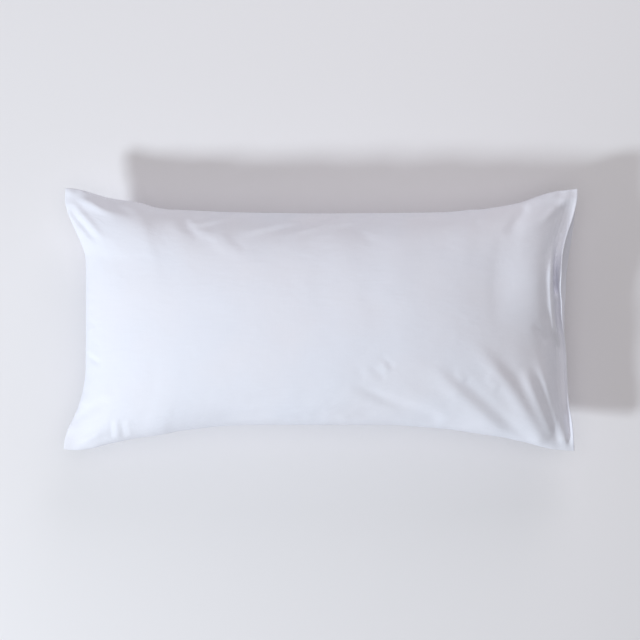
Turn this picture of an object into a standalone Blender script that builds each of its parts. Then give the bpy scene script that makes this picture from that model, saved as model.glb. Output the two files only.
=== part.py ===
"""Pillowcase for a 40 x 80 cm pillow, closed over its pillow and lying on its back.

filled_case   the front and back panels, sewn together on three sides and drawn over the pillow:
              one filled solid with its crown, drawn-in sides, four ears, main folds and the
              open mouth at the +X end
tuck_flap     the flap inside the mouth, which is turned in over the end of the pillow

The origin is under the middle of the case, at the height of the surface it lies on.
X runs along the case with the mouth at +X, Y across it, and Z is up. Sizes are metres.
"""
import math

import bmesh
import bpy

# ---------------------------------------------------------------- driving sizes
SEAM_HEIGHT = 0.072       # the side seams hang this far above the surface
FRONT_CROWN = 0.100       # how far the front panel swells above the seams
BACK_CROWN = 0.098        # how far the back panel would swell below them, with no floor under it
EASE = 0.010              # the back panel leaves the floor in a curve this deep
RIM = 0.0024              # thickness of the seams at the edge
EAR_REACH = 0.050         # within this distance of a tip the case is nearly empty and flat
EAR_DROP = 0.75           # share of the crown that is missing right at a tip
BRIM = 0.016              # empty cloth beyond the pillow at the mouth end

# Fullness along the case and across it: the exponents of the crown's profile.
LENGTH_POWER = 2.4
WIDTH_POWER = 2.4
LENGTH_ROOT = 0.50
WIDTH_ROOT = 0.42
FOOT = 0.006              # rounds the foot of the profile, so that no wall is quite upright

# The mouth: a slit between the front panel's hem and the back panel's fold.
MOUTH_DEPTH = 0.044       # how far the slit reaches in
MOUTH_CENTRE = 0.062      # place along Y where it gapes most
MOUTH_HALF = 0.112        # half the length over which it gapes
HEM_LIFT = 0.022          # how far the hem stands up there
FOLD_DROP = 0.012         # how far the fold of the back panel sags there
HEM_THICK = 0.0030        # the turned hem and the panel under it
SLACK = 0.0050            # the slit's least opening away from the tips
TIP_SLACK = 0.0006        # the same at the two tips, where it ends
FLAP_RISE = 0.60          # slope of the slit's floor at the fold, up and inwards
FLAP_CURVE = 9.0          # how it steepens over the end of the pillow, for each metre
CLOSED_TIP = 0.018        # the slit shuts over this distance from each tip
TIP_DEPTH = 0.0015        # depth of the slit at the two tips
TIP_THICK = 0.0009        # thickness of each lip there
LIFT_START = 0.70         # the lips part from this place on, 1 being the mouth itself
FOLD_START = 0.12         # the folds reach full height where the crown has this share of its own

# The flap that is tucked into the mouth.
FLAP_THICK = 0.0016
FLAP_GAP = 0.0008         # clearance to the panels
FLAP_END = 0.165          # it is modelled as far as this along Y, to both sides

# Grid of each panel.
ALONG = 56
ACROSS = 32
CROWDING = 0.65           # 0 for even spacing, 1 for the closest towards the seams
MOUTH_STEPS = 8

# Both long sides. station: place along X. far, near: Y of the +Y and of the -Y seam there.
LONG_SIDES = (
    # station,  far,    near
    (-0.3905, 0.2000, -0.1975),
    (-0.3700, 0.1985, -0.1990),
    (-0.3450, 0.1915, -0.1960),
    (-0.3100, 0.1830, -0.1875),
    (-0.2700, 0.1760, -0.1800),
    (-0.2400, 0.1690, -0.1755),
    (-0.1850, 0.1654, -0.1665),
    (-0.1200, 0.1632, -0.1610),
    (0.0000, 0.1618, -0.1604),
    (0.1200, 0.1623, -0.1610),
    (0.1700, 0.1634, -0.1645),
    (0.2250, 0.1669, -0.1710),
    (0.2550, 0.1695, -0.1753),
    (0.2850, 0.1745, -0.1805),
    (0.3140, 0.1810, -0.1867),
    (0.3400, 0.1905, -0.1940),
    (0.3620, 0.1955, -0.1980),
    (0.3880, 0.1990, -0.2000),
)

# Both ends. station: place along Y. closed: X of the sewn end. hem, flap, fold: X of the front
# panel's hem, of the flap's outer edge and of the back panel's fold at the mouth.
ENDS = (
    # station, closed,   hem,    flap,    fold
    (-0.1990, -0.3920, 0.3850, 0.3830, 0.3862),
    (-0.1850, -0.3900, 0.3835, 0.3820, 0.3850),
    (-0.1516, -0.3770, 0.3803, 0.3790, 0.3812),
    (-0.1300, -0.3680, 0.3760, 0.3748, 0.3770),
    (-0.1000, -0.3615, 0.3735, 0.3722, 0.3745),
    (-0.0450, -0.3583, 0.3710, 0.3698, 0.3720),
    (-0.0175, -0.3581, 0.3672, 0.3662, 0.3708),
    (0.0050, -0.3581, 0.3642, 0.3650, 0.3712),
    (0.0375, -0.3581, 0.3627, 0.3685, 0.3728),
    (0.0632, -0.3581, 0.3600, 0.3712, 0.3742),
    (0.0950, -0.3586, 0.3632, 0.3755, 0.3778),
    (0.1166, -0.3650, 0.3673, 0.3795, 0.3812),
    (0.1349, -0.3735, 0.3740, 0.3818, 0.3835),
    (0.1501, -0.3805, 0.3795, 0.3836, 0.3850),
    (0.1650, -0.3868, 0.3840, 0.3856, 0.3868),
    (0.1990, -0.3890, 0.3900, 0.3890, 0.3905),
)

# Main folds of the front panel, each one soft line from a start to an end. height: of its crest,
# and below zero the depth of a trough. width: half its breadth. bow: how far its middle bends
# to the left of its run.
FOLDS = (
    # start x,  y,      end x,   y,      height,  width,  bow
    (0.1570, -0.0770, 0.2621, -0.1638, 0.0070, 0.0170, 0.004),
    (0.1798, -0.0831, 0.2804, -0.1547, -0.0060, 0.0150, 0.004),
    (0.2286, -0.0389, 0.3307, -0.1836, 0.0080, 0.0160, 0.006),
    (0.2400, -0.0358, 0.3290, -0.1486, -0.0080, 0.0140, 0.006),
    (0.3018, -0.0739, 0.3520, -0.1928, 0.0050, 0.0120, 0.003),
    (0.3250, -0.0632, 0.3581, -0.1791, -0.0050, 0.0110, 0.003),
    (0.2850, 0.1288, 0.3749, 0.1928, 0.0060, 0.0150, -0.006),
    (0.2804, 0.1334, 0.3150, 0.1700, -0.0050, 0.0140, -0.004),
    (-0.3170, 0.1623, -0.3856, 0.1974, 0.0050, 0.0120, 0.000),
    (-0.3200, 0.1120, -0.3779, 0.1669, 0.0050, 0.0120, 0.000),
    (-0.3673, -0.1897, -0.3277, -0.1730, 0.0050, 0.0120, 0.000),
    (0.0700, -0.1050, 0.2200, -0.1420, -0.0050, 0.0180, 0.000),
    (0.3420, 0.1160, 0.3490, 0.0010, 0.0040, 0.0100, -0.003),
    (0.3560, 0.1120, 0.3570, 0.0050, -0.0060, 0.0090, -0.002),
)

# Colours: linear red, green, blue.
PANEL_COLOUR = (0.80, 0.82, 0.87, 1.0)
FLAP_COLOUR = (0.78, 0.80, 0.85, 1.0)


# ---------------------------------------------------------------- small helpers
def mix(a, b, amount):
    return a + (b - a) * amount


def smooth_step(value):
    value = min(1.0, max(0.0, value))
    return value * value * (3.0 - 2.0 * value)


def soft_floor(height, ease):
    """The height, turned in a curve into the flat surface at zero."""
    if height >= ease:
        return height
    if height <= -ease:
        return 0.0
    return (height + ease) ** 2 / (4.0 * ease)


def read_table(table, column, station):
    """A table's column at a station, on a smooth curve through its rows."""
    last = len(table) - 1
    row = 0
    while row < last - 1 and station > table[row + 1][0]:
        row += 1
    start, end = table[row], table[row + 1]
    span = end[0] - start[0]
    before = table[max(row - 1, 0)]
    after = table[min(row + 2, last)]
    slope_in = (end[column] - before[column]) / (end[0] - before[0])
    slope_out = (after[column] - start[column]) / (after[0] - start[0])
    u = min(1.0, max(0.0, (station - start[0]) / span))
    rise = u * u * (3.0 - 2.0 * u)
    lead = u * (1.0 - u) ** 2 * span
    trail = u * u * (u - 1.0) * span
    return mix(start[column], end[column], rise) + slope_in * lead + slope_out * trail


# ---------------------------------------------------------------- form of the case
def profile(place, power, root):
    """Fullness from 1 in the middle to 0 at the edge of the pillow."""
    left = max(0.0, 1.0 - abs(place) ** power)
    foot = FOOT ** root
    return ((left + FOOT) ** root - foot) / ((1.0 + FOOT) ** root - foot)


def plan(s, t, end_column):
    """X and Y of a panel's point: s runs from the sewn end to the mouth, t from near to far."""
    station_y = t * LONG_SIDES[0][1]
    closed = read_table(ENDS, 1, station_y)
    mouth = read_table(ENDS, end_column, station_y)
    x = mix(closed, mouth, 0.5 + 0.5 * s)
    near = read_table(LONG_SIDES, 2, s * -LONG_SIDES[0][0])
    far = read_table(LONG_SIDES, 1, s * -LONG_SIDES[0][0])
    return x, mix(near, far, 0.5 + 0.5 * t)


def fullness(x, y, s, t):
    """Share of the crown at a point: none on the seams, and little in the ears."""
    end = 1.0 + BRIM / LONG_SIDES[0][0] if s > 0.0 else 1.0
    along = profile(min(1.0, abs(s) / end), LENGTH_POWER, LENGTH_ROOT)
    across = profile(t, WIDTH_POWER, WIDTH_ROOT)
    tip_x = LONG_SIDES[-1][0]
    tip_y = LONG_SIDES[0][1]
    to_tip = math.hypot(abs(x) - tip_x, abs(y) - tip_y)
    ear = 1.0 - EAR_DROP * math.exp(-(to_tip / EAR_REACH) ** 2)
    return along * across * ear


def fold_height(x, y):
    """Sum of the main folds at a point of the front panel."""
    total = 0.0
    for x0, y0, x1, y1, height, width, bow in FOLDS:
        run_x, run_y = x1 - x0, y1 - y0
        length = math.hypot(run_x, run_y)
        along = ((x - x0) * run_x + (y - y0) * run_y) / (length * length)
        if not -0.2 < along < 1.2:
            continue
        bend = 4.0 * bow * along * (1.0 - along)
        aside = ((y - y0) * run_x - (x - x0) * run_y) / length - bend
        taper = smooth_step(along / 0.3 + 0.3) * smooth_step((1.0 - along) / 0.15 + 0.3)
        total += height * taper * math.exp(-(aside / width) ** 2)
    return total


def gape(y):
    """How far open the mouth is along Y, from 0 to 1."""
    reach = abs(y - MOUTH_CENTRE) / MOUTH_HALF
    return 1.0 - smooth_step(reach)


def free_of_tips(y):
    """0 at the two tips and 1 away from them."""
    to_tip = LONG_SIDES[0][1] - abs(y)
    return smooth_step(to_tip / CLOSED_TIP)


def mouth_weight(s):
    """Share of the lips' lift or drop: all of it at the mouth, none past the middle."""
    return smooth_step((s - LIFT_START) / (1.0 - LIFT_START))


def front_height(s, t):
    x, y = plan(s, t, 2)
    seam = SEAM_HEIGHT + RIM / 2.0
    lift = mouth_weight(s) * (HEM_LIFT * gape(y) + SLACK * free_of_tips(y))
    settle = smooth_step(fullness(x, y, s, t) / FOLD_START)
    edge = max(settle, mouth_weight(s) * free_of_tips(y))
    return x, y, seam + lift + FRONT_CROWN * fullness(x, y, s, t) + fold_height(x, y) * edge


def back_height(s, t):
    x, y = plan(s, t, 4)
    seam = SEAM_HEIGHT - RIM / 2.0
    drop = mouth_weight(s) * (FOLD_DROP * gape(y) + 2.0 * SLACK * free_of_tips(y))
    low = seam - drop - BACK_CROWN * fullness(x, y, s, t)
    return x, y, soft_floor(low, EASE)


def mouth_walls(t, q):
    """Roof and floor of the slit at depth q, from 0 at the lips to 1 at its inner end."""
    hem_x, y = plan(1.0, t, 2)
    fold_x = plan(1.0, t, 4)[0]
    open_here = free_of_tips(y)
    depth = mix(TIP_DEPTH, MOUTH_DEPTH, open_here)
    closed_x = plan(-1.0, t, 2)[0]
    roof_x = hem_x - depth * q
    roof_s = 2.0 * (roof_x - closed_x) / (hem_x - closed_x) - 1.0
    thick = mix(TIP_THICK, HEM_THICK, open_here)
    roof = front_height(roof_s, t)[2] - thick
    least = mix(TIP_SLACK, SLACK, open_here)
    inner_x = hem_x - depth
    floor_x = mix(fold_x, inner_x, q)
    floor_s = 2.0 * (floor_x - closed_x) / (hem_x - closed_x) - 1.0
    lip = back_height(1.0, t)[2] + thick
    inwards = fold_x - floor_x
    ramp = lip + FLAP_RISE * inwards + FLAP_CURVE * inwards ** 2
    ceiling = front_height(min(1.0, floor_s), t)[2] - thick - least
    return y, (roof_x, roof), (floor_x, min(ramp, ceiling))


def stations(count):
    """Places from -1 to 1, closer together towards both ends."""
    even = [2.0 * i / count - 1.0 for i in range(count + 1)]
    return [mix(place, math.sin(0.5 * math.pi * place), CROWDING) for place in even]


# ---------------------------------------------------------------- pieces
def make_material(name, colour, roughness):
    material = bpy.data.materials.new(name)
    material.use_nodes = True
    shader = material.node_tree.nodes["Principled BSDF"]
    shader.inputs["Base Color"].default_value = colour
    shader.inputs["Roughness"].default_value = roughness
    shader.inputs["Metallic"].default_value = 0.0
    return material


def add_object(name, bm, material):
    bmesh.ops.recalc_face_normals(bm, faces=bm.faces)
    bmesh.ops.triangulate(bm, faces=bm.faces)
    mesh = bpy.data.meshes.new(name)
    bm.to_mesh(mesh)
    bm.free()
    mesh.materials.append(material)
    mesh.shade_smooth()
    mesh.set_sharp_from_angle(angle=math.radians(50.0))
    made = bpy.data.objects.new(name, mesh)
    bpy.context.collection.objects.link(made)
    return made


def skin_rings(bm, rings):
    """Bridge closed rings of equal length, one after the other."""
    count = len(rings[0])
    for ring, following in zip(rings, rings[1:]):
        for i in range(count):
            j = (i + 1) % count
            bm.faces.new((ring[i], ring[j], following[j], following[i]))


def make_filled_case(material):
    """Rings across the case: over the front, in and out of the mouth, and back underneath."""
    bm = bmesh.new()
    rings = []
    for t in stations(ACROSS):
        points = [front_height(s, t) for s in stations(ALONG)]
        walls = [mouth_walls(t, k / MOUTH_STEPS) for k in range(MOUTH_STEPS + 1)]
        points += [(roof[0], y, roof[1]) for y, roof, floor in walls]
        points += [(floor[0], y, floor[1]) for y, roof, floor in reversed(walls)]
        points += [back_height(s, t) for s in reversed(stations(ALONG))]
        rings.append([bm.verts.new(point) for point in points])
    skin_rings(bm, rings)
    # The two long seams: a ribbon of the seam's thickness, and a small piece at the slit's end.
    last = len(rings[0]) - 1
    for ring in (rings[0], rings[-1]):
        for i in range(ALONG - 1):
            bm.faces.new((ring[i], ring[i + 1], ring[last - i - 1], ring[last - i]))
        bm.faces.new(ring[ALONG - 1:last - ALONG + 2])
    return add_object("filled_case", bm, material)


def make_tuck_flap(material):
    """A sheet on the slit's floor, from near the fold in over the end of the pillow."""
    bm = bmesh.new()
    rings = []
    for t in stations(ACROSS):
        fold_x, y = plan(1.0, t, 4)
        if abs(y) > FLAP_END:
            continue
        outer_x = plan(1.0, t, 3)[0]
        floors = [mouth_walls(t, k / MOUTH_STEPS)[2] for k in range(MOUTH_STEPS)]
        set_back = (fold_x - outer_x) / (fold_x - floors[1][0])
        outer_z = mix(floors[0][1], floors[1][1], set_back)
        lower = [(x, y, z + FLAP_GAP) for x, z in [(outer_x, outer_z)] + floors[1:]]
        upper = [(x, y, z + FLAP_THICK) for x, y, z in reversed(lower)]
        rings.append([bm.verts.new(point) for point in lower + upper])
    skin_rings(bm, rings)
    for ring in (rings[0], rings[-1]):
        last = len(ring) - 1
        for i in range(len(ring) // 2 - 1):
            bm.faces.new((ring[i], ring[i + 1], ring[last - i - 1], ring[last - i]))
    return add_object("tuck_flap", bm, material)


def main():
    for old in list(bpy.data.objects):
        bpy.data.objects.remove(old, do_unlink=True)
    make_filled_case(make_material("white_cotton_panel", PANEL_COLOUR, 0.75))
    make_tuck_flap(make_material("white_cotton_flap", FLAP_COLOUR, 0.80))


main()
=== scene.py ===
"""Filled pillowcase with a tuck-in flap, lying on its back on a pale floor.

The sidebar panel lists the sizes and colours, and one operator for each piece: the two panels
drawn over the pillow, the flap in the mouth, the stitching of the hem, and the stage.
Sizes are metres. X runs along the case towards the mouth, Y across it, and Z is up.
"""
import math

import bmesh
import bpy
import numpy as np
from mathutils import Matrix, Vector


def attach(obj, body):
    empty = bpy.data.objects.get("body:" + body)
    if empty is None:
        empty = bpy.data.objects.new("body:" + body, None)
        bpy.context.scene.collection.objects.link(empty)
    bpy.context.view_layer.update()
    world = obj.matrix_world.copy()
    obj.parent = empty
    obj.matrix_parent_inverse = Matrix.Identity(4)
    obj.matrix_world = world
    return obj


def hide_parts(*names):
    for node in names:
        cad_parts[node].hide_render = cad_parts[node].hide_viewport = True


bl_info = {
    "name": "Filled pillowcase",
    "version": (1, 0, 0),
    "blender": (4, 5, 0),
    "location": "3D View > Sidebar > Pillowcase",
    "description": "Builds a cotton pillowcase closed over its pillow",
    "category": "Object",
}

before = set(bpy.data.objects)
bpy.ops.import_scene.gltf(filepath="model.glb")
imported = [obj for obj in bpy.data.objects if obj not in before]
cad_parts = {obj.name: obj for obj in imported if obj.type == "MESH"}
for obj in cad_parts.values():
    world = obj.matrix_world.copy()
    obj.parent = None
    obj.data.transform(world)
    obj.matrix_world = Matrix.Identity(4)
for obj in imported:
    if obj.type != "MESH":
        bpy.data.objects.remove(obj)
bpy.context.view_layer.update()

# Half the length and half the width of the case, which s and t go by.
HALF_LENGTH = 0.3905
HALF_WIDTH = 0.2000

# The swell of the panels: the power of its profile, and the roots that steepen it both ways.
SWELL_POWER = 2.4
LENGTH_ROOT = 0.50
WIDTH_ROOT = 0.42
# Towards the mouth it is averaged over this spread: (offset along X, weight out of 9).
MOUTH_SPREAD = ((-0.012, 1), (-0.006, 2), (0.0, 3), (0.006, 2), (0.012, 1))
# The four ears: where their tips are, how far they reach, and the share of the swell they lack.
TIP_X = 0.388
TIP_Y = 0.200
EAR_REACH = 0.050
EAR_DROP = 0.75
# Half the thickness of a seam, and the curve by which the back panel leaves the floor.
SEAM_HALF = 0.0006
FLOOR_EASE = 0.010

# Share of a fold that both panels keep where they are sewn together, and the share of the crown
# at which the folds have their full height.
SEAM_SHARE = 0.25
FOLD_START = 0.12

# Gathers beside the seams: their breadth, the length of a wave along and across, over 2 pi, and
# the share of their height that the near seam has.
GATHER_REACH = 0.014
GATHER_ALONG = 0.0036
GATHER_ACROSS = 0.0033
NEAR_GATHERS = 0.45

# The mouth: where it gapes most, half the length of the gape, the place along the case from
# which it parts, and how far the hem rises and the fold sinks, there and along the whole mouth.
MOUTH_CENTRE = 0.062
MOUTH_HALF = 0.112
LIFT_START = 0.70
HEM_LIFT = 0.022
FOLD_DROP = 0.012
HEM_SLACK = 0.005
FOLD_SLACK = 0.006
# The mouth shuts over this distance from each tip.
CLOSED_TIP = 0.018
# The hem's turned-up edge: the distance from each tip over which it rises, how far in it reaches,
# and the share of its height that it has beside the gape.
CURL_FADE = 0.060
CURL_REACH = 0.0030
CURL_BESIDE = 0.45
# The mouth's depth, the thickness of its lips and its least opening, each at the tips and away
# from them.
MOUTH_DEPTHS = (0.0015, 0.044)
LIP_THICKNESSES = (0.0009, 0.0022)
MOUTH_SLACKS = (0.0006, 0.0045)
# The mouth's floor rises inwards over the end of the pillow: its slope at the fold, and how it
# steepens for each metre.
FLOOR_RISE = 0.60
FLOOR_CURVE = 9.0

# Half the width of the flat cut, and the cells of the panels along, across and down the mouth.
CUT_HALF_WIDTH = 0.205
PANEL_ALONG, PANEL_ACROSS, PANEL_DEEP = 250, 136, 14
# How the cells crowd: towards the seams, the lips of the mouth and the outer edge of the flap.
SEAM_CROWDING = 0.65
LIP_CROWDING = 1.3
EDGE_CROWDING = 1.25

# The flap: cells in and across, how far along Y it is modelled to both sides, and the share of
# the mouth's depth that it reaches in.
FLAP_DEEP, FLAP_ACROSS = 26, 120
FLAP_END = 0.165
FLAP_INNER = 0.92
# Its gap to the panel below, its thickness, what its hem adds to that, and the width of the hem
# and of the step down from it.
FLAP_GAP = 0.0006
FLAP_THICK = 0.0011
FLAP_HEM_EXTRA = 0.0009
FLAP_HEM_WIDTH = 0.007
FLAP_HEM_STEP = 0.0015

# The stitches: the share of the width that their row takes up, and the points of its line.
ROW_END = 0.90
ROW_POINTS = 1201
# Half a stitch's length as a share of the step to the next, and half its width and its height.
STITCH_HALF = 0.40
THREAD_HALF = (0.00028, 0.00024)
# How far a stitch's ends dip into the cloth, in half heights, and how far on its direction is read.
STITCH_DIP = 0.9
STITCH_AHEAD = 0.0008

# The cloth bag that is simulated for its wrinkles: cells along and across, and frames.
BAG_ALONG, BAG_ACROSS, BAG_FRAMES = 130, 72, 14
# The most that a wrinkle moves the cloth, and the share of it that the tight middle shows.
WRINKLE_CAP = 0.0016
WRINKLES_IN_MIDDLE = 0.25
# The share of its size that a wrinkle keeps, and how broad a swelling is taken off, in cells.
WRINKLE_SHARE = 0.5
SWELLING = 4.0
# Distance from a seam over which the wrinkles begin.
WRINKLE_EDGE = 0.012

# Both long sides. station: place along X. far, near: Y of the +Y and of the -Y seam there.
LONG_SIDES = (
    # station,  far,    near
    (-0.3905, 0.2000, -0.1975),
    (-0.3740, 0.1988, -0.1990),
    (-0.3600, 0.1955, -0.1982),
    (-0.3430, 0.1905, -0.1955),
    (-0.3250, 0.1852, -0.1905),
    (-0.3100, 0.1828, -0.1872),
    (-0.2900, 0.1800, -0.1830),
    (-0.2700, 0.1760, -0.1797),
    (-0.2550, 0.1712, -0.1778),
    (-0.2400, 0.1684, -0.1755),
    (-0.2180, 0.1672, -0.1708),
    (-0.1850, 0.1654, -0.1663),
    (-0.1500, 0.1640, -0.1625),
    (-0.1200, 0.1631, -0.1610),
    (-0.0600, 0.1622, -0.1606),
    (0.0000, 0.1616, -0.1604),
    (0.0600, 0.1619, -0.1606),
    (0.1200, 0.1623, -0.1612),
    (0.1570, 0.1629, -0.1637),
    (0.1960, 0.1640, -0.1670),
    (0.2250, 0.1669, -0.1710),
    (0.2480, 0.1682, -0.1745),
    (0.2620, 0.1703, -0.1766),
    (0.2850, 0.1742, -0.1803),
    (0.3080, 0.1795, -0.1855),
    (0.3200, 0.1838, -0.1880),
    (0.3390, 0.1904, -0.1935),
    (0.3560, 0.1948, -0.1972),
    (0.3720, 0.1968, -0.1988),
    (0.3905, 0.1990, -0.2002),
)

# Columns of ENDS that hold X at the mouth.
HEM, FLAP, FOLD = 2, 3, 4

# Both ends. station: place along Y. closed: X of the sewn end. hem, flap, fold: X of the front
# panel's hem, of the flap's outer edge and of the back panel's fold at the mouth.
ENDS = (
    # station, closed,   hem,    flap,    fold
    (-0.1990, -0.3920, 0.3850, 0.3835, 0.3862),
    (-0.1850, -0.3900, 0.3838, 0.3822, 0.3850),
    (-0.1660, -0.3840, 0.3822, 0.3808, 0.3835),
    (-0.1516, -0.3768, 0.3803, 0.3790, 0.3812),
    (-0.1330, -0.3692, 0.3768, 0.3752, 0.3775),
    (-0.1150, -0.3640, 0.3748, 0.3730, 0.3753),
    (-0.0950, -0.3600, 0.3735, 0.3718, 0.3740),
    (-0.0450, -0.3583, 0.3712, 0.3696, 0.3718),
    (-0.0175, -0.3581, 0.3678, 0.3668, 0.3708),
    (0.0050, -0.3581, 0.3646, 0.3658, 0.3714),
    (0.0280, -0.3581, 0.3628, 0.3668, 0.3730),
    (0.0450, -0.3581, 0.3606, 0.3690, 0.3742),
    (0.0650, -0.3581, 0.3612, 0.3722, 0.3748),
    (0.0830, -0.3583, 0.3622, 0.3748, 0.3766),
    (0.1000, -0.3600, 0.3641, 0.3766, 0.3786),
    (0.1166, -0.3660, 0.3681, 0.3795, 0.3812),
    (0.1349, -0.3740, 0.3740, 0.3822, 0.3835),
    (0.1501, -0.3808, 0.3798, 0.3842, 0.3852),
    (0.1650, -0.3866, 0.3846, 0.3862, 0.3870),
    (0.1820, -0.3901, 0.3885, 0.3880, 0.3890),
    (0.1990, -0.3890, 0.3900, 0.3890, 0.3905),
)

# Folds of the front panel, each one soft line from a start to an end. height: of its crest, and
# below zero the depth of a trough. left, right: half its breadth on either side of its run.
# bow: how far its middle bends to the left. fade: share of its length over which it rises.
FRONT_FOLDS = (
    # start x,  y,      end x,   y,     height,   left,   right,   bow,   fade
    # the near corner at the mouth: four folds that run in from it, steep on their far side
    (0.1480, -0.0590, 0.2720, -0.1720, 0.0033, 0.0110, 0.0150, 0.000, 0.45),
    (0.2180, -0.0300, 0.3370, -0.1880, 0.0044, 0.0120, 0.0130, 0.007, 0.40),
    (0.3000, -0.0680, 0.3470, -0.1700, 0.0042, 0.0088, 0.0100, -0.001, 0.35),
    (0.3220, -0.0440, 0.3730, -0.1930, 0.0045, 0.0084, 0.0100, 0.001, 0.35),
    (0.2500, -0.0450, 0.3420, -0.1640, -0.0010, 0.0100, 0.0100, 0.010, 0.45),
    (0.1700, -0.0560, 0.3100, -0.1820, -0.0020, 0.0090, 0.0090, 0.002, 0.45),
    (0.3140, -0.0600, 0.3590, -0.1830, -0.0012, 0.0055, 0.0055, 0.001, 0.40),
    (0.3740, -0.1200, 0.3780, -0.1900, -0.0034, 0.0040, 0.0050, 0.000, 0.40),
    (0.3160, -0.0030, 0.3390, -0.0340, -0.0020, 0.0060, 0.0060, 0.000, 0.45),
    # small soft bumps between the first two
    (0.1980, -0.0760, 0.2130, -0.0900, 0.0012, 0.0050, 0.0060, 0.000, 0.50),
    (0.2420, -0.0800, 0.2620, -0.1020, 0.0012, 0.0060, 0.0070, 0.000, 0.50),
    # the long hollow beside the near seam, and the crease above it
    (-0.0100, -0.1300, 0.2150, -0.1580, -0.0055, 0.0130, 0.0100, -0.003, 0.40),
    (0.0420, -0.0930, 0.1750, -0.1480, -0.0036, 0.0080, 0.0100, -0.003, 0.40),
    (-0.2200, -0.1500, 0.0200, -0.1450, -0.0030, 0.0130, 0.0100, 0.003, 0.40),
    (0.0830, -0.0500, 0.1050, -0.0690, -0.0011, 0.0040, 0.0040, 0.000, 0.50),
    (0.0870, -0.0590, 0.0990, -0.0760, 0.0011, 0.0040, 0.0040, 0.000, 0.50),
    (0.0700, -0.0670, 0.0930, -0.0860, -0.0011, 0.0040, 0.0040, 0.000, 0.50),
    (0.0500, -0.0720, 0.0640, -0.0860, -0.0007, 0.0045, 0.0045, 0.000, 0.50),
    # the far corner at the mouth
    (0.2820, 0.1180, 0.3800, 0.1960, 0.0022, 0.0090, 0.0120, -0.004, 0.55),
    (0.2740, 0.1240, 0.3080, 0.1700, -0.0026, 0.0080, 0.0080, -0.002, 0.45),
    (0.3260, 0.1420, 0.3720, 0.1820, 0.0022, 0.0055, 0.0060, 0.000, 0.45),
    (0.3120, 0.1380, 0.3600, 0.1800, -0.0008, 0.0060, 0.0060, 0.000, 0.45),
    (0.2300, 0.1430, 0.2620, 0.1660, 0.0018, 0.0060, 0.0080, 0.000, 0.45),
    # fine slanting wrinkles under the far seam
    (-0.1950, 0.1420, -0.1180, 0.1600, 0.0035, 0.0040, 0.0060, 0.000, 0.50),
    (-0.1270, 0.1260, -0.0350, 0.1540, 0.0037, 0.0045, 0.0070, 0.000, 0.50),
    (-0.0930, 0.1260, 0.0280, 0.1570, -0.0031, 0.0050, 0.0060, 0.000, 0.50),
    (-0.0460, 0.1270, 0.0350, 0.1540, 0.0029, 0.0040, 0.0060, 0.000, 0.50),
    (0.0100, 0.1370, 0.0960, 0.1600, 0.0035, 0.0045, 0.0060, 0.000, 0.50),
    (0.1000, 0.1420, 0.1700, 0.1600, 0.0022, 0.0045, 0.0060, 0.000, 0.50),
    (-0.2190, 0.1600, -0.1830, 0.1220, -0.0010, 0.0070, 0.0070, 0.000, 0.40),
    (-0.1420, 0.1240, -0.1120, 0.1060, -0.0006, 0.0060, 0.0060, 0.000, 0.50),
    (0.0520, 0.1350, 0.0760, 0.1150, -0.0006, 0.0060, 0.0060, 0.000, 0.50),
    # the far corner at the closed end
    (-0.3000, 0.1530, -0.3860, 0.1950, 0.0046, 0.0080, 0.0060, 0.000, 0.45),
    (-0.3200, 0.1130, -0.3790, 0.1780, 0.0026, 0.0060, 0.0060, 0.000, 0.40),
    (-0.3330, 0.1130, -0.3830, 0.1660, -0.0036, 0.0050, 0.0050, 0.000, 0.40),
    (-0.2750, 0.1560, -0.3300, 0.1800, -0.0030, 0.0080, 0.0080, 0.000, 0.40),
    # the near corner at the closed end, with its small upright gathers
    (-0.3200, -0.1640, -0.3740, -0.1930, 0.0040, 0.0080, 0.0070, 0.000, 0.40),
    (-0.3160, -0.1470, -0.3170, -0.1790, -0.0009, 0.0030, 0.0030, 0.000, 0.40),
    (-0.3080, -0.1450, -0.3070, -0.1790, 0.0008, 0.0030, 0.0030, 0.000, 0.40),
    (-0.3000, -0.1480, -0.2980, -0.1780, -0.0009, 0.0030, 0.0030, 0.000, 0.40),
    (-0.2900, -0.1460, -0.2880, -0.1760, 0.0007, 0.0035, 0.0030, 0.000, 0.40),
    (-0.3130, -0.1150, -0.3780, -0.1530, -0.0027, 0.0080, 0.0070, 0.000, 0.40),
    # gathers at the closed end's seam
    (-0.3300, -0.0180, -0.3560, 0.0030, -0.0011, 0.0035, 0.0035, 0.000, 0.50),
    (-0.3250, -0.0450, -0.3500, -0.0290, -0.0011, 0.0035, 0.0035, 0.000, 0.50),
    (-0.3260, -0.0700, -0.3580, -0.0530, -0.0024, 0.0035, 0.0040, 0.000, 0.50),
    (-0.3260, -0.0620, -0.3570, -0.0460, 0.0014, 0.0035, 0.0035, 0.000, 0.50),
    # the rounded roll beside the mouth, and the deep tuck between it and the hem
    (0.3535, 0.1280, 0.3560, -0.0250, 0.0095, 0.0045, 0.0065, -0.0092, 0.35),
    (0.3580, 0.1220, 0.3546, 0.0440, -0.0130, 0.0028, 0.0032, -0.0026, 0.95),
    (0.3550, 0.0370, 0.3600, -0.0160, -0.0030, 0.0028, 0.0030, 0.0000, 0.25),
)


# ---------------------------------------------------------------- shaping
def mix(a, b, amount):
    return a + (b - a) * amount


def smooth_step(value):
    value = np.clip(value, 0.0, 1.0)
    return value * value * (3.0 - 2.0 * value)


def soft_floor(height, ease):
    """The height, turned in a curve into the flat surface at zero."""
    bent = (height + ease) ** 2 / (4.0 * ease)
    return np.where(height >= ease, height, np.where(height <= -ease, 0.0, bent))


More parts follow.
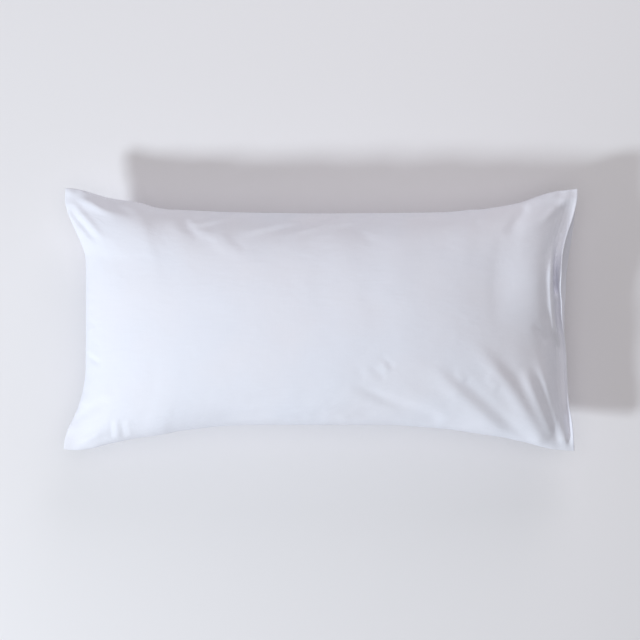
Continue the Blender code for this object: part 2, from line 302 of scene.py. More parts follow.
def read_table(table, column, place):
    """One column of a table at places along it, on a smooth curve through its rows."""
    stations = np.array([row[0] for row in table])
    values = np.array([row[column] for row in table])
    slopes = np.gradient(values, stations)
    row = np.clip(np.searchsorted(stations, place) - 1, 0, len(stations) - 2)
    span = stations[row + 1] - stations[row]
    u = np.clip((place - stations[row]) / span, 0.0, 1.0)
    rise = u * u * (3.0 - 2.0 * u)
    lead = u * (1.0 - u) ** 2 * span * slopes[row]
    trail = u * u * (u - 1.0) * span * slopes[row + 1]
    return mix(values[row], values[row + 1], rise) + lead + trail


class CaseForm:
    """The form of the filled case as functions of s, along it, and t, across it: -1 to 1."""

    def __init__(self, sizes):
        self.sizes = sizes

    def plan(self, s, t, edge):
        """X and Y of a place, where edge is the column of ENDS that holds its mouth end."""
        station_y = t * HALF_WIDTH
        station_x = s * HALF_LENGTH
        closed = read_table(ENDS, 1, station_y)
        mouth = read_table(ENDS, edge, station_y)
        x = mix(closed, mouth, 0.5 + 0.5 * s)
        near = read_table(LONG_SIDES, 2, station_x)
        far = read_table(LONG_SIDES, 1, station_x)
        return x, mix(near, far, 0.5 + 0.5 * t)

    def profile(self, place, root):
        """How full the case is at a place from -1 to 1: 1 in the middle and 0 at both ends."""
        foot = self.sizes.foot
        left = np.maximum(0.0, 1.0 - np.abs(place) ** SWELL_POWER)
        low = foot ** root
        return ((left + foot) ** root - low) / ((1.0 + foot) ** root - low)

    def fullness(self, x, y, s, t):
        """Share of the crown that the panels swell to."""
        brim = self.sizes.brim / HALF_LENGTH
        end = np.where(s > 0.0, 1.0 - brim, 1.0)
        at_mouth = smooth_step(s / 0.5)
        along = 0.0
        for offset, weight in MOUTH_SPREAD:
            place = np.abs(s + at_mouth * offset / HALF_LENGTH) / end
            along = along + self.profile(np.minimum(1.0, place), LENGTH_ROOT) * weight / 9.0
        across = self.profile(t, WIDTH_ROOT)
        to_tip = np.hypot(np.abs(x) - TIP_X, np.abs(y) - TIP_Y)
        ear = 1.0 - EAR_DROP * np.exp(-(to_tip / EAR_REACH) ** 2)
        return along * across * ear

    def folds(self, x, y, table):
        """Height of all the folds of a table together."""
        total = np.zeros_like(x)
        for x0, y0, x1, y1, height, left, right, bow, fade in table:
            run_x, run_y = x1 - x0, y1 - y0
            length = math.hypot(run_x, run_y)
            along = ((x - x0) * run_x + (y - y0) * run_y) / (length * length)
            bend = 4.0 * bow * along * (1.0 - along)
            aside = ((y - y0) * run_x - (x - x0) * run_y) / length - bend
            breadth = np.where(aside > 0.0, left, right)
            taper = smooth_step(along / fade) * smooth_step((1.15 - along) / 0.25)
            total += height * taper * np.exp(-(aside / breadth) ** 2)
        return total

    def gape(self, y):
        """1 where the mouth gapes most, and 0 where its lips lie together."""
        return 1.0 - smooth_step(np.abs(y - MOUTH_CENTRE) / MOUTH_HALF)

    def free_of_tips(self, y):
        """0 at the two tips beside the mouth, and 1 away from them."""
        return smooth_step((HALF_WIDTH - np.abs(y)) / CLOSED_TIP)

    def mouth_weight(self, s):
        """How much of the mouth's own shape a place has: 1 at the lips."""
        return smooth_step((s - LIFT_START) / 0.30)

    def puckers(self, x, y, s, t):
        """Small gathers that the sewing draws into the cloth next to the seams.

        A slower wave inside each one and another over its height make them uneven.
        """
        side = np.exp(-((1.0 - np.abs(t)) * HALF_WIDTH / GATHER_REACH) ** 2)
        side = side * np.where(t > 0.0, 1.0, NEAR_GATHERS)
        end = np.exp(-((1.0 + s) * HALF_LENGTH / GATHER_REACH) ** 2)
        wave_x = np.sin(x / GATHER_ALONG + 2.1 * np.sin(23.0 * x + 3.0 * t))
        wave_y = np.sin(y / GATHER_ACROSS + 1.9 * np.sin(29.0 * y))
        wave_x = wave_x * (0.55 + 0.45 * np.sin(31.0 * x + 1.7))
        wave_y = wave_y * (0.55 + 0.45 * np.sin(41.0 * y + 0.6))
        return self.sizes.pucker * (side * wave_x + end * wave_y)

    def front(self, s, t):
        """X, Y and Z of the front panel."""
        x, y = self.plan(s, t, HEM)
        full = self.fullness(x, y, s, t)
        opened = self.mouth_weight(s)
        lift = opened * (HEM_LIFT * self.gape(y) + HEM_SLACK * self.free_of_tips(y))
        settle = np.maximum(smooth_step(full / FOLD_START), opened * self.free_of_tips(y))
        folds = self.folds(x, y, FRONT_FOLDS) * np.maximum(settle, SEAM_SHARE)
        inwards = self.plan(1.0, t, HEM)[0] - x
        beside = smooth_step((HALF_WIDTH - np.abs(y)) / CURL_FADE)
        curl = mix(CURL_BESIDE * beside, 1.0, self.gape(y)) * self.sizes.hem_curl
        curl = curl * np.exp(-(inwards / CURL_REACH) ** 2)
        rise = lift + self.sizes.front_crown * full + folds + self.puckers(x, y, s, t) + curl
        return x, y, self.sizes.seam_height + SEAM_HALF + rise

    def back(self, s, t):
        """X, Y and Z of the back panel, which the floor presses flat."""
        x, y = self.plan(s, t, FOLD)
        full = self.fullness(x, y, s, t)
        slack = FOLD_DROP * self.gape(y) + FOLD_SLACK * self.free_of_tips(y)
        drop = self.mouth_weight(s) * slack
        beside_seam = 1.0 - smooth_step(full / FOLD_START)
        shared = self.folds(x, y, FRONT_FOLDS) * SEAM_SHARE * beside_seam
        shared = shared * (1.0 - self.mouth_weight(s) * self.free_of_tips(y))
        low = self.sizes.seam_height - SEAM_HALF - drop - self.sizes.back_crown * full
        low = low + shared + self.puckers(x, y, s, t)
        return x, y, soft_floor(low, FLOOR_EASE)

    def walls(self, t, q):
        """Roof and floor of the mouth at depth q: 0 at the lips and 1 at the inner end."""
        hem_x, y = self.plan(1.0, t, HEM)
        fold_x = self.plan(1.0, t, FOLD)[0]
        closed_x = self.plan(-1.0, t, HEM)[0]
        open_here = self.free_of_tips(y)
        depth = mix(*MOUTH_DEPTHS, open_here)
        thick = mix(*LIP_THICKNESSES, open_here)
        roof_x = hem_x - depth * q
        roof_s = 2.0 * (roof_x - closed_x) / (hem_x - closed_x) - 1.0
        roof = self.front(roof_s, t)
        floor_x = mix(fold_x, hem_x - depth, q)
        floor_s = 2.0 * (floor_x - closed_x) / (hem_x - closed_x) - 1.0
        inwards = fold_x - floor_x
        lip_z = self.back(1.0, t)[2] + thick
        ramp = lip_z + FLOOR_RISE * inwards + FLOOR_CURVE * inwards ** 2
        above = self.front(np.minimum(1.0, floor_s), t)
        ceiling = above[2] - thick - mix(*MOUTH_SLACKS, open_here)
        floor = (floor_x, above[1], np.minimum(ramp, ceiling))
        return (roof[0], roof[1], roof[2] - thick), floor


def length_along(points):
    """Distance to each point of a run of points, from its first."""
    steps = np.linalg.norm(np.diff(points, axis=0), axis=1)
    return np.concatenate([[0.0], np.cumsum(steps)])


def lip(top, low):
    """Three points that round an edge off outwards, from the point on top to the one below."""
    turns = np.radians((45.0, 90.0, 135.0))
    radius = 0.5 * (top[2] - low[2])
    middle = 0.5 * (top + low)
    points = np.repeat(middle[None, :], 3, axis=0)
    points[:, 0] += radius * np.sin(turns)
    points[:, 2] += radius * np.cos(turns)
    return points


def as_points(values, shape):
    """X, Y and Z of a run of points as one array."""
    return np.stack([np.broadcast_to(value, shape) for value in values], axis=1)


def blurred(field, sigma):
    """The field averaged over its neighbours, along both ways of the cloth."""
    reach = int(3.0 * sigma)
    kernel = np.exp(-0.5 * (np.arange(-reach, reach + 1) / sigma) ** 2)
    kernel = kernel / kernel.sum()
    for axis in (0, 1):
        pad = [(reach, reach) if i == axis else (0, 0) for i in range(3)]
        padded = np.pad(field, pad, mode="edge")
        count = field.shape[axis]
        field = sum(weight * np.take(padded, range(i, i + count), axis=axis)
                    for i, weight in enumerate(kernel))
    return field


def finer(field, rows, columns):
    """The field read at more places, evenly between its own."""
    at_row = np.linspace(0, field.shape[0] - 1, rows)
    low = np.minimum(at_row.astype(int), field.shape[0] - 2)
    share = (at_row - low)[:, None, None]
    field = mix(field[low], field[low + 1], share)
    at_column = np.linspace(0, field.shape[1] - 1, columns)
    low = np.minimum(at_column.astype(int), field.shape[1] - 2)
    share = (at_column - low)[None, :, None]
    return blurred(mix(field[:, low], field[:, low + 1], share), 1.0)


def simulated_wrinkles(form, along, across):
    """Small wrinkles of the loose cloth, from blowing the closed case up as a cloth bag.

    The bag is the case's own form with a little more cloth than it needs. Its broad swelling is
    taken off the result, and what stays is the wrinkles: one field for each panel.
    """
    s = stations(BAG_ALONG)
    rings = []
    for t in stations(BAG_ACROSS):
        front = as_points(form.front(s, t), s.shape)
        back = as_points(form.back(s, t), s.shape)
        rings.append(np.concatenate([front, back[::-1]]))
    count = len(rings[0])
    faces = bridge_rings(BAG_ACROSS + 1, count)
    for base in (0, BAG_ACROSS * count):
        last = base + count - 1
        faces.extend((base + i, base + i + 1, last - i - 1, last - i) for i in range(BAG_ALONG))
    start = np.concatenate(rings)
    bag = mesh_object("bag", start, faces, bpy.data.materials.new("bag"))
    cloth = bag.modifiers.new("Cloth", "CLOTH")
    settings = cloth.settings
    settings.quality = 7
    settings.mass = 0.0003
    settings.tension_stiffness = 40.0
    settings.compression_stiffness = 40.0
    settings.shear_stiffness = 10.0
    settings.bending_stiffness = 0.5
    settings.tension_damping = 10.0
    settings.compression_damping = 10.0
    settings.shear_damping = 10.0
    settings.air_damping = 2.0
    settings.use_pressure = True
    settings.uniform_pressure_force = form.sizes.pressure
    settings.effector_weights.gravity = 0.0
    settings.shrink_min = -form.sizes.ease
    settings.shrink_max = -form.sizes.ease
    cloth.point_cache.frame_start = 1
    cloth.point_cache.frame_end = BAG_FRAMES
    for frame_number in range(1, BAG_FRAMES + 1):
        bpy.context.scene.frame_set(frame_number)
    settled = bag.evaluated_get(bpy.context.evaluated_depsgraph_get()).data
    points = np.empty(len(start) * 3)
    settled.vertices.foreach_get("co", points)
    bpy.context.scene.frame_set(1)
    bpy.data.meshes.remove(bag.data)
    moved = (points.reshape(-1, 3) - start).reshape(BAG_ACROSS + 1, count, 3)
    t = np.array(stations(BAG_ACROSS))[:, None]
    # No wrinkles at the seams and at the mouth, and weaker ones towards both ends.
    at_seam = smooth_step((1.0 - np.abs(t)) * HALF_WIDTH / WRINKLE_EDGE)
    at_end = smooth_step((1.0 + s) * HALF_LENGTH / WRINKLE_EDGE)
    at_mouth = 1.0 - 0.8 * smooth_step((s - 0.48) / 0.16)
    at_mouth = at_mouth * (1.0 - 0.6 * smooth_step((-0.40 - s) / 0.16))
    at_mouth = at_mouth * (1.0 - smooth_step((s - 0.80) / 0.14))
    # Weaker ones on the near side's long slope too, and the weakest in the tight middle.
    outer = smooth_step((np.maximum(np.abs(s), np.abs(t)) - 0.50) / 0.40)
    near = 1.0 - 0.55 * smooth_step((-0.45 - t) / 0.30) * smooth_step((0.80 - np.abs(s)) / 0.25)
    share = at_seam * at_end * at_mouth * near * mix(WRINKLES_IN_MIDDLE, 1.0, outer)
    share = share[:, :, None]
    fields = []
    for field in (moved[:, :BAG_ALONG + 1], moved[:, BAG_ALONG + 1:][:, ::-1]):
        field = WRINKLE_SHARE * (field - blurred(field, SWELLING))
        size = np.linalg.norm(field, axis=2, keepdims=True) + 1e-9
        field = field * (WRINKLE_CAP * np.tanh(size / WRINKLE_CAP) / size)
        fields.append(finer(field * share, across + 1, along + 1))
    return fields


def case_ring(form, t, s, q, wrinkles):
    """One ring along the case at t, and each point's distance along the cloth from its first."""
    front = as_points(form.front(s, t), s.shape) + wrinkles[0]
    back = (as_points(form.back(s, t), s.shape) + wrinkles[1])[::-1]
    back[:, 2] = np.maximum(back[:, 2], 0.0)
    roof, floor = form.walls(t, q)
    roof = as_points(roof, q.shape)
    floor = as_points(floor, q.shape)[::-1]
    hem = lip(front[-1], roof[0])
    fold = lip(floor[-1], back[0])
    ring = np.concatenate([front, hem, roof, floor, fold, back])
    return ring, length_along(ring)


def stations(count):
    """Places from -1 to 1, closer together towards both ends."""
    even = np.linspace(-1.0, 1.0, count + 1)
    return mix(even, np.sin(0.5 * math.pi * even), SEAM_CROWDING)


# ---------------------------------------------------------------- sizes and colours
class PillowcaseSizes(bpy.types.PropertyGroup):
    """Sizes of the filled case."""

    seam_height: bpy.props.FloatProperty(
        name="Seam height", description="Height of the side seams above the floor",
        default=0.072, unit="LENGTH")
    front_crown: bpy.props.FloatProperty(
        name="Front crown", description="How far the front panel swells above the seams",
        default=0.100, unit="LENGTH")
    back_crown: bpy.props.FloatProperty(
        name="Back crown", description="How far the back panel would swell with no floor",
        default=0.098, unit="LENGTH")
    brim: bpy.props.FloatProperty(
        name="Brim", description="Empty cloth beyond the pillow at the mouth",
        default=0.016, unit="LENGTH")
    foot: bpy.props.FloatProperty(
        name="Foot", description="Rounding where the swell meets the seams", default=0.006)
    pucker: bpy.props.FloatProperty(
        name="Pucker", description="Height of the small gathers along the seams",
        default=0.0006, unit="LENGTH")
    pressure: bpy.props.FloatProperty(
        name="Pressure", description="How hard the pillow presses on the loose cloth",
        default=0.4)
    ease: bpy.props.FloatProperty(
        name="Ease", description="Cloth to spare, as a share of its length", default=0.02)
    hem_curl: bpy.props.FloatProperty(
        name="Hem curl", description="How far the front panel's edge turns up at the mouth",
        default=0.006, unit="LENGTH")
    hem_width: bpy.props.FloatProperty(
        name="Hem width", description="From the front panel's edge to its row of stitches",
        default=0.020, unit="LENGTH")
    stitch: bpy.props.FloatProperty(
        name="Stitch", description="Length from one stitch to the next",
        default=0.0030, unit="LENGTH")


class PillowcaseColours(bpy.types.PropertyGroup):
    """Colours of the cloth and of the stage."""

    cotton: bpy.props.FloatVectorProperty(
        name="Cotton", description="White of the cotton", subtype="COLOR",
        size=3, min=0.0, max=1.0, default=(0.793, 0.785, 0.850))
    floor: bpy.props.FloatVectorProperty(
        name="Floor", description="Pale floor", subtype="COLOR",
        size=3, min=0.0, max=1.0, default=(0.80, 0.78, 0.80))


# ---------------------------------------------------------------- materials
# From one thread of the weave to the next.
THREAD_PITCH = 0.00055


class Nodes:
    """Adds nodes to one node tree and links them."""

    def __init__(self, tree):
        self.tree = tree

    def add(self, kind, inputs=(), **settings):
        node = self.tree.nodes.new(kind)
        for name, value in settings.items():
            setattr(node, name, value)
        for socket, value in dict(inputs).items():
            if isinstance(value, bpy.types.NodeSocket):
                self.tree.links.new(value, node.inputs[socket])
            else:
                node.inputs[socket].default_value = value
        return node

    def math(self, operation, *values):
        node = self.tree.nodes.new("ShaderNodeMath")
        node.operation = operation
        for socket, value in zip(node.inputs, values):
            if isinstance(value, bpy.types.NodeSocket):
                self.tree.links.new(value, socket)
            else:
                socket.default_value = value
        return node.outputs[0]

    def stretch(self, vector, factors):
        node = self.add("ShaderNodeVectorMath", {0: vector, 1: factors}, operation="MULTIPLY")
        return node.outputs["Vector"]

    def noise(self, vector, scale, detail):
        node = self.add("ShaderNodeTexNoise", {
            "Vector": vector, "Scale": scale, "Detail": detail, "Roughness": 0.5})
        return node.outputs["Fac"]


def new_group(name, inputs, outputs):
    """A shader node group with named inputs and outputs: (socket name, kind, default)."""
    tree = bpy.data.node_groups.new(name, "ShaderNodeTree")
    for label, kind, default in inputs:
        socket = tree.interface.new_socket(label, in_out="INPUT", socket_type=kind)
        if default is not None:
            socket.default_value = default
    for label, kind in outputs:
        tree.interface.new_socket(label, in_out="OUTPUT", socket_type=kind)
    nodes = Nodes(tree)
    source = tree.nodes.new("NodeGroupInput").outputs
    result = tree.nodes.new("NodeGroupOutput").inputs
    return tree, nodes, source, result


def weave_group():
    """Plain weave: threads over and under each other, with thicker and thinner runs."""
    tree, nodes, source, result = new_group(
        "plain_weave",
        (("Cut", "NodeSocketVector", None), ("Thread pitch", "NodeSocketFloat", 0.0006),
         ("Slubs", "NodeSocketFloat", 0.4)),
        (("Height", "NodeSocketFloat"), ("Shade", "NodeSocketFloat")))
    turns = nodes.math("DIVIDE", math.pi, source["Thread pitch"])
    scaled = nodes.add("ShaderNodeVectorMath", {0: source["Cut"], "Scale": turns},
                       operation="SCALE")
    axes = nodes.add("ShaderNodeSeparateXYZ", {0: scaled.outputs[0]})
    across = nodes.math("SINE", axes.outputs["X"])
    along = nodes.math("SINE", axes.outputs["Y"])
    crossing = nodes.math("MULTIPLY", across, along)
    warp = nodes.noise(nodes.stretch(source["Cut"], (22.0, 900.0, 1.0)), 1.0, 2.0)
    weft = nodes.noise(nodes.stretch(source["Cut"], (900.0, 22.0, 1.0)), 1.0, 2.0)
    slubs = nodes.math("ADD", warp, weft)
    slubs = nodes.math("SUBTRACT", slubs, 1.0)
    slubs = nodes.math("MULTIPLY", slubs, source["Slubs"])
    height = nodes.math("MULTIPLY_ADD", crossing, 0.5, 0.5)
    height = nodes.math("ADD", height, slubs)
    shade = nodes.math("MULTIPLY_ADD", crossing, 0.20, 0.5)
    shade = nodes.math("ADD", shade, slubs)
    tree.links.new(height, result["Height"])
    tree.links.new(shade, result["Shade"])
    return tree


def crease_group():
    """Faint soft creases left in the cloth by washing and folding."""
    tree, nodes, source, result = new_group(
        "washed_creases",
        (("Cut", "NodeSocketVector", None), ("Creases per metre", "NodeSocketFloat", 30.0)),
        (("Height", "NodeSocketFloat"),))
    turned = nodes.add("ShaderNodeMapping", {
        "Vector": source["Cut"], "Rotation": (0.0, 0.0, math.radians(34.0)),
        "Scale": (1.0, 2.2, 1.0)})
    bent = nodes.noise(source["Cut"], 9.0, 1.0)
    bent = nodes.math("MULTIPLY", bent, 0.05)
    shift = nodes.add("ShaderNodeVectorMath", {0: turned.outputs[0], 1: bent},
                      operation="ADD")
    grain = nodes.noise(shift.outputs[0], source["Creases per metre"], 2.5)
    ridge = nodes.math("MULTIPLY_ADD", grain, 2.0, -1.0)
    ridge = nodes.math("ABSOLUTE", ridge)
    ridge = nodes.math("SUBTRACT", 1.0, ridge)
    broad = nodes.noise(source["Cut"], 14.0, 2.0)
    height = nodes.math("MULTIPLY", ridge, broad)
    tree.links.new(height, result["Height"])
    return tree


def tint_group():
    """Cloth colour with faint cooler and warmer patches, and darker between the threads."""
    tree, nodes, source, result = new_group(
        "white_cotton_tint",
        (("Cut", "NodeSocketVector", None), ("Cloth", "NodeSocketColor", (0.8, 0.8, 0.8, 1.0)),
         ("Cool", "NodeSocketColor", (0.8, 0.8, 0.8, 1.0)), ("Shade", "NodeSocketFloat", 0.5)),
        (("Colour", "NodeSocketColor"),))
    patches = nodes.noise(source["Cut"], 7.0, 2.0)
    patches = nodes.add("ShaderNodeMapRange", {
        "Value": patches, "From Min": 0.35, "From Max": 0.65}).outputs["Result"]
    cloth = nodes.add("ShaderNodeMix", {
        "Factor": patches, 6: source["Cloth"], 7: source["Cool"]}, data_type="RGBA")
    dark = nodes.add("ShaderNodeMapRange", {
        "Value": source["Shade"], "To Min": 0.955, "To Max": 1.035}).outputs["Result"]
    shaded = nodes.add("ShaderNodeVectorMath", {0: cloth.outputs[2], "Scale": dark},
                       operation="SCALE")
    tree.links.new(shaded.outputs[0], result["Colour"])
    return tree


def shared_group(name, build):
    """A node group that is built once and then used again."""
    return bpy.data.node_groups.get(name) or build()


def new_material(name):
    material = bpy.data.materials.new(name)
    material.use_nodes = True
    return material, material.node_tree.nodes["Principled BSDF"], Nodes(material.node_tree)


def cotton_material(name, colour, slubs, creases, crease_height):
    """Washed white cotton. The threads follow the piece's own flat cut, its UV map."""
    material, shader, nodes = new_material(name)
    cut = nodes.add("ShaderNodeUVMap", uv_map="cut").outputs["UV"]
    weave = nodes.add("ShaderNodeGroup", node_tree=shared_group("plain_weave", weave_group))
    crease = nodes.add("ShaderNodeGroup",
                       node_tree=shared_group("washed_creases", crease_group))
    tint = nodes.add("ShaderNodeGroup",
                     node_tree=shared_group("white_cotton_tint", tint_group))
    links = material.node_tree.links
    for group in (weave, crease, tint):
        links.new(cut, group.inputs["Cut"])
    weave.inputs["Thread pitch"].default_value = THREAD_PITCH
    weave.inputs["Slubs"].default_value = slubs
    crease.inputs["Creases per metre"].default_value = creases
    tint.inputs["Cloth"].default_value = (*colour, 1.0)
    tint.inputs["Cool"].default_value = (colour[0] * 0.985, colour[1], colour[2] * 1.012, 1.0)
    links.new(weave.outputs["Shade"], tint.inputs["Shade"])
    links.new(tint.outputs["Colour"], shader.inputs["Base Color"])
    rough = nodes.math("MULTIPLY_ADD", weave.outputs["Shade"], -0.12, 0.86)
    links.new(rough, shader.inputs["Roughness"])
    soft = nodes.add("ShaderNodeBump", {
        "Strength": 1.0, "Distance": crease_height, "Height": crease.outputs["Height"]})
    fine = nodes.add("ShaderNodeBump", {
        "Strength": 0.6, "Distance": 0.00005, "Height": weave.outputs["Height"],
        "Normal": soft.outputs["Normal"]})
    links.new(fine.outputs["Normal"], shader.inputs["Normal"])
    shader.inputs["Specular IOR Level"].default_value = 0.25
    shader.inputs["Sheen Weight"].default_value = 0.10
    shader.inputs["Sheen Roughness"].default_value = 0.45
    return material


def thread_material(colour):
    """Twisted sewing thread."""
    material, shader, nodes = new_material("white_thread")
    place = nodes.add("ShaderNodeTexCoord").outputs["Object"]
    twist = nodes.add("ShaderNodeTexWave", {
        "Vector": place, "Scale": 900.0, "Distortion": 1.5, "Detail": 1.0},
        bands_direction="DIAGONAL")
    dark = (colour[0] * 0.92, colour[1] * 0.92, colour[2] * 0.94, 1.0)
    tint = nodes.add("ShaderNodeMix", {
        "Factor": twist.outputs["Fac"], 6: dark, 7: (*colour, 1.0)}, data_type="RGBA")
    links = material.node_tree.links
    links.new(tint.outputs[2], shader.inputs["Base Color"])
    bump = nodes.add("ShaderNodeBump", {
        "Strength": 0.5, "Distance": 0.0001, "Height": twist.outputs["Fac"]})
    links.new(bump.outputs["Normal"], shader.inputs["Normal"])
    shader.inputs["Roughness"].default_value = 0.55
    return material


def floor_material(colour):
    """Pale matt floor, its tone a little uneven."""
    material, shader, nodes = new_material("pale_floor")
    place = nodes.add("ShaderNodeTexCoord").outputs["Object"]
    cloudy = nodes.noise(place, 1.3, 2.0)
    darker = (*(0.99 * channel for channel in colour), 1.0)
    lighter = (*(1.01 * channel for channel in colour), 1.0)
    tint = nodes.add("ShaderNodeMix", {
        "Factor": cloudy, 6: darker, 7: lighter}, data_type="RGBA")
    material.node_tree.links.new(tint.outputs[2], shader.inputs["Base Color"])
    shader.inputs["Roughness"].default_value = 0.9
    shader.inputs["Specular IOR Level"].default_value = 0.2
    return material


# ---------------------------------------------------------------- stage
FLOOR_WIDTH = 24.0

# name, width of the disk, power, colour, distance, azimuth and elevation in degrees
LIGHTS = (
    ("key", 0.60, 116.0, (0.84, 0.93, 0.985), 4.0, 211.5, 33.0),
    ("fill", 1.60, 22.0, (1.0, 0.97, 1.0), 3.0, 74.0, 27.0),
    ("overhead", 2.50, 18.5, (1.0, 0.98, 1.0), 3.0, 0.0, 90.0),
)
WORLD_STRENGTH = 0.28

# The camera looks straight down from so far up that it sees this width at the seams' height.
LENS = 100.0
SENSOR = 36.0
VIEW_WIDTH = 0.975
VIEW_HEIGHT = 0.072
VIEW_CENTRE = (-0.0015, -0.0008)


# ---------------------------------------------------------------- pieces
def mesh_object(name, points, faces, material, cut=None):
    """A closed mesh, its faces turned outwards; cut gives each point's place on the cloth."""
    mesh = bpy.data.meshes.new(name)
    mesh.from_pydata([tuple(point) for point in points], [], faces)
    bm = bmesh.new()
    bm.from_mesh(mesh)
    bmesh.ops.recalc_face_normals(bm, faces=bm.faces)
    bm.to_mesh(mesh)
    bm.free()
    if cut is not None:
        layer = mesh.uv_layers.new(name="cut")
        corners = np.empty(len(mesh.loops), dtype=np.int32)
        mesh.loops.foreach_get("vertex_index", corners)
        layer.data.foreach_set("uv", cut[corners].astype(np.float32).ravel())
    mesh.shade_smooth()
    mesh.materials.append(material)
    made = bpy.data.objects.new(name, mesh)
    bpy.context.collection.objects.link(made)
    return made


def bridge_rings(rings, count):
    """Faces between closed rings of count points, one after the other."""
    faces = []
    for row in range(rings - 1):
        a, b = row * count, (row + 1) * count
        for i in range(count):
            j = (i + 1) % count
            faces.append((a + i, a + j, b + j, b + i))
    return faces


class PILLOWCASE_OT_panels(bpy.types.Operator):
    """Front and back panels, drawn over the pillow, with the mouth between them."""

    bl_idname = "pillowcase.panels"
    bl_label = "Front and back panels"

    def execute(self, context):
        form = CaseForm(context.scene.pillowcase_sizes)
        along, across = PANEL_ALONG, PANEL_ACROSS
        s = stations(along)
        q = np.linspace(0.0, 1.0, PANEL_DEEP + 1) ** LIP_CROWDING
        rings, cuts = [], []
        fields = simulated_wrinkles(form, along, across)
        for row, t in enumerate(stations(across)):
            ring, run = case_ring(form, t, s, q, (fields[0][row], fields[1][row]))
            rings.append(ring)
            cuts.append(np.stack([run, np.full_like(run, CUT_HALF_WIDTH * t)], axis=1))
        count = len(rings[0])
        faces = bridge_rings(across + 1, count)
        for base in (0, across * count):
            last = base + count - 1
            for i in range(along - 1):
                faces.append((base + i, base + i + 1, last - i - 1, last - i))
            faces.append(tuple(range(base + along - 1, last - along + 2)))
        colour = context.scene.pillowcase_colours.cotton
        material = cotton_material(
            "washed_cotton_panels", colour, slubs=0.35, creases=22.0, crease_height=0.0010)
        case = mesh_object("case_panels", np.concatenate(rings), faces, material,
                           np.concatenate(cuts))
        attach(case, "root")
        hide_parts("filled_case")
        return {"FINISHED"}


class PILLOWCASE_OT_flap(bpy.types.Operator):
    """Hemmed flap that tucks in over the end of the pillow, under the front panel."""

    bl_idname = "pillowcase.flap"
    bl_label = "Tuck-in flap"

    def execute(self, context):
        form = CaseForm(context.scene.pillowcase_sizes)
        deep = FLAP_DEEP
        places = [t for t in stations(FLAP_ACROSS) if abs(form.plan(1.0, t, FOLD)[1]) < FLAP_END]
        rings, cuts = [], []
        for t in places:
            fold_x = form.plan(1.0, t, FOLD)[0]
            outer_x = form.plan(1.0, t, FLAP)[0]
            hem_x = form.plan(1.0, t, HEM)[0]
            start = (fold_x - outer_x) / (fold_x - hem_x + MOUTH_DEPTHS[1])
            q = mix(start, FLAP_INNER, np.linspace(0.0, 1.0, deep + 1) ** EDGE_CROWDING)
            x, y, z = form.walls(t, q)[1]
            lower = as_points((x, y, z + FLAP_GAP), q.shape)
            hemmed = 1.0 - smooth_step((outer_x - x - FLAP_HEM_WIDTH) / FLAP_HEM_STEP)
            upper = lower + np.outer(FLAP_THICK + FLAP_HEM_EXTRA * hemmed, (0.0, 0.0, 1.0))
            edge = lip(upper[0], lower[0])
            ring = np.concatenate([lower[::-1], edge[::-1], upper])
            rings.append(ring)
            cuts.append(np.stack([length_along(ring), ring[:, 1]], axis=1))
        count = len(rings[0])
        faces = bridge_rings(len(rings), count)
        for base in (0, (len(rings) - 1) * count):
            last = base + count - 1
            for i in range(deep):
                faces.append((base + i, base + i + 1, last - i - 1, last - i))
            faces.append(tuple(range(base + deep, last - deep + 1)))
        colour = context.scene.pillowcase_colours.cotton
        material = cotton_material(
            "washed_cotton_flap", colour, slubs=0.45, creases=30.0, crease_height=0.0006)
        flap = mesh_object("tuck_flap_cloth", np.concatenate(rings), faces, material,
                           np.concatenate(cuts))
        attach(flap, "root")
        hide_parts("tuck_flap")
        return {"FINISHED"}


class PILLOWCASE_OT_stitches(bpy.types.Operator):
    """Row of lockstitch along the front panel's hem."""

    bl_idname = "pillowcase.stitches"
    bl_label = "Hem stitches"

    def execute(self, context):
        sizes = context.scene.pillowcase_sizes
        form = CaseForm(sizes)
        places = np.linspace(-ROW_END, ROW_END, ROW_POINTS)
        hem_x = form.plan(1.0, places, HEM)[0]
        closed_x = form.plan(-1.0, places, HEM)[0]
        inset = 2.0 * (hem_x - sizes.hem_width - closed_x) / (hem_x - closed_x) - 1.0
        line = np.stack(form.front(inset, places), axis=1)
        run = length_along(line)
        bpy.ops.object.select_all(action="DESELECT")
        bpy.ops.mesh.primitive_uv_sphere_add(
            segments=6, ring_count=5, radius=1.0, rotation=(0.0, 0.5 * math.pi, 0.0))
        first = context.object
        bpy.ops.object.transform_apply(location=False, rotation=True, scale=False)
        bpy.ops.object.mode_set(mode="EDIT")
        bpy.ops.mesh.select_mode(type="VERT")
        bpy.ops.mesh.select_all(action="DESELECT")
        shape = bmesh.from_edit_mesh(first.data)
        for point in shape.verts:
            point.select_set(abs(point.co.x) > 0.75)
        shape.select_flush_mode()
        bmesh.update_edit_mesh(first.data)
        bpy.ops.transform.translate(value=(0.0, 0.0, -STITCH_DIP))
        bpy.ops.object.mode_set(mode="OBJECT")
        first.data.materials.append(thread_material(context.scene.pillowcase_colours.cotton))
        first.data.shade_smooth()
        stitches = []
        for distance in np.arange(0.5 * sizes.stitch, run[-1], sizes.stitch):
            here, ahead = (Vector([np.interp(place, run, line[:, i]) for i in range(3)])
                           for place in (distance, distance + STITCH_AHEAD))
            stitch = first.copy()
            stitch.data = first.data.copy()
            context.collection.objects.link(stitch)
            stitch.location = here
            stitch.rotation_mode = "QUATERNION"
            stitch.rotation_quaternion = (ahead - here).to_track_quat("X", "Z")
            stitch.scale = (STITCH_HALF * sizes.stitch, *THREAD_HALF)
            stitches.append(stitch)
        bpy.data.objects.remove(first)
        for stitch in stitches:
            stitch.select_set(True)
        context.view_layer.objects.active = stitches[0]
        bpy.ops.object.join()
        row = context.object
        row.name = "hem_stitches"
        bpy.ops.object.transform_apply(location=True, rotation=True, scale=True)
        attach(row, "root")
        return {"FINISHED"}


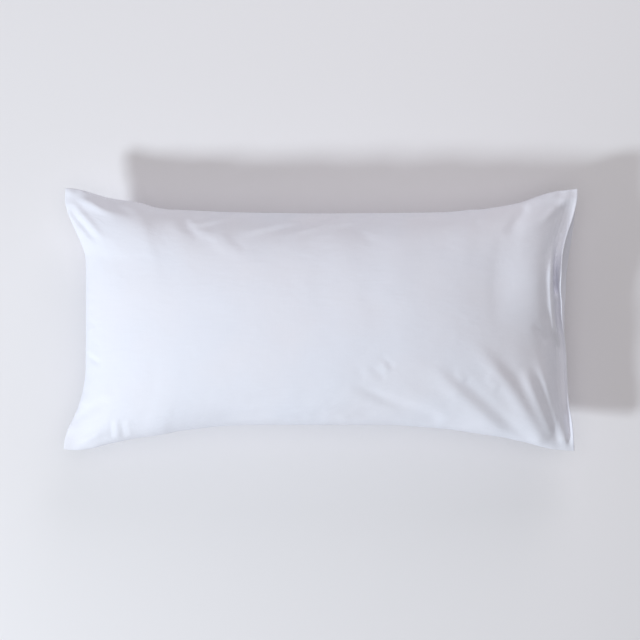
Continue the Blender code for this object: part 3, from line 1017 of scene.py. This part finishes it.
class PILLOWCASE_OT_stage(bpy.types.Operator):
    """Floor, lights and camera."""

    bl_idname = "pillowcase.stage"
    bl_label = "Stage"

    def execute(self, context):
        bpy.ops.object.select_all(action="DESELECT")
        bpy.ops.mesh.primitive_plane_add(size=FLOOR_WIDTH, location=(0.0, 0.0, 0.0))
        floor = context.object
        floor.name = "floor"
        floor.data.materials.append(floor_material(context.scene.pillowcase_colours.floor))

        world = bpy.data.worlds.new("studio")
        context.scene.world = world
        world.use_nodes = True
        background = world.node_tree.nodes["Background"]
        background.inputs["Color"].default_value = (1.0, 1.0, 1.0, 1.0)
        background.inputs["Strength"].default_value = WORLD_STRENGTH

        for name, width, power, colour, reach, azimuth, elevation in LIGHTS:
            light = bpy.data.lights.new(name, "AREA")
            light.shape = "DISK"
            light.size = width
            light.energy = power
            light.color = colour
            lamp = bpy.data.objects.new(name, light)
            side, lift = math.radians(azimuth), math.radians(elevation)
            lamp.location = (reach * math.cos(lift) * math.cos(side),
                             reach * math.cos(lift) * math.sin(side), reach * math.sin(lift))
            lamp.rotation_mode = "QUATERNION"
            lamp.rotation_quaternion = lamp.location.to_track_quat("Z", "Y")
            context.collection.objects.link(lamp)

        lens = bpy.data.cameras.new("camera")
        lens.lens = LENS
        lens.sensor_width = SENSOR
        eye = bpy.data.objects.new("camera", lens)
        eye.location = (*VIEW_CENTRE, VIEW_WIDTH * LENS / SENSOR + VIEW_HEIGHT)
        context.collection.objects.link(eye)
        context.scene.camera = eye
        context.scene.view_settings.view_transform = "Standard"
        return {"FINISHED"}


class PILLOWCASE_PT_panel(bpy.types.Panel):
    """Sizes, colours and pieces of the pillowcase."""

    bl_label = "Pillowcase"
    bl_idname = "PILLOWCASE_PT_panel"
    bl_space_type = "VIEW_3D"
    bl_region_type = "UI"
    bl_category = "Pillowcase"

    def draw(self, context):
        for group in (context.scene.pillowcase_sizes, context.scene.pillowcase_colours):
            for name in group.bl_rna.properties.keys():
                if name not in ("rna_type", "name"):
                    self.layout.prop(group, name)
        for operator in OPERATORS:
            self.layout.operator(operator.bl_idname)


OPERATORS = (PILLOWCASE_OT_stage, PILLOWCASE_OT_panels, PILLOWCASE_OT_flap,
             PILLOWCASE_OT_stitches)
CLASSES = (PillowcaseSizes, PillowcaseColours, *OPERATORS, PILLOWCASE_PT_panel)


def register():
    for entry in CLASSES:
        bpy.utils.register_class(entry)
    bpy.types.Scene.pillowcase_sizes = bpy.props.PointerProperty(type=PillowcaseSizes)
    bpy.types.Scene.pillowcase_colours = bpy.props.PointerProperty(type=PillowcaseColours)


def unregister():
    del bpy.types.Scene.pillowcase_colours
    del bpy.types.Scene.pillowcase_sizes
    for entry in reversed(CLASSES):
        bpy.utils.unregister_class(entry)


def main():
    register()
    bpy.ops.pillowcase.stage()
    bpy.ops.pillowcase.panels()
    bpy.ops.pillowcase.flap()
    bpy.ops.pillowcase.stitches()


if __name__ == "__main__":
    main()
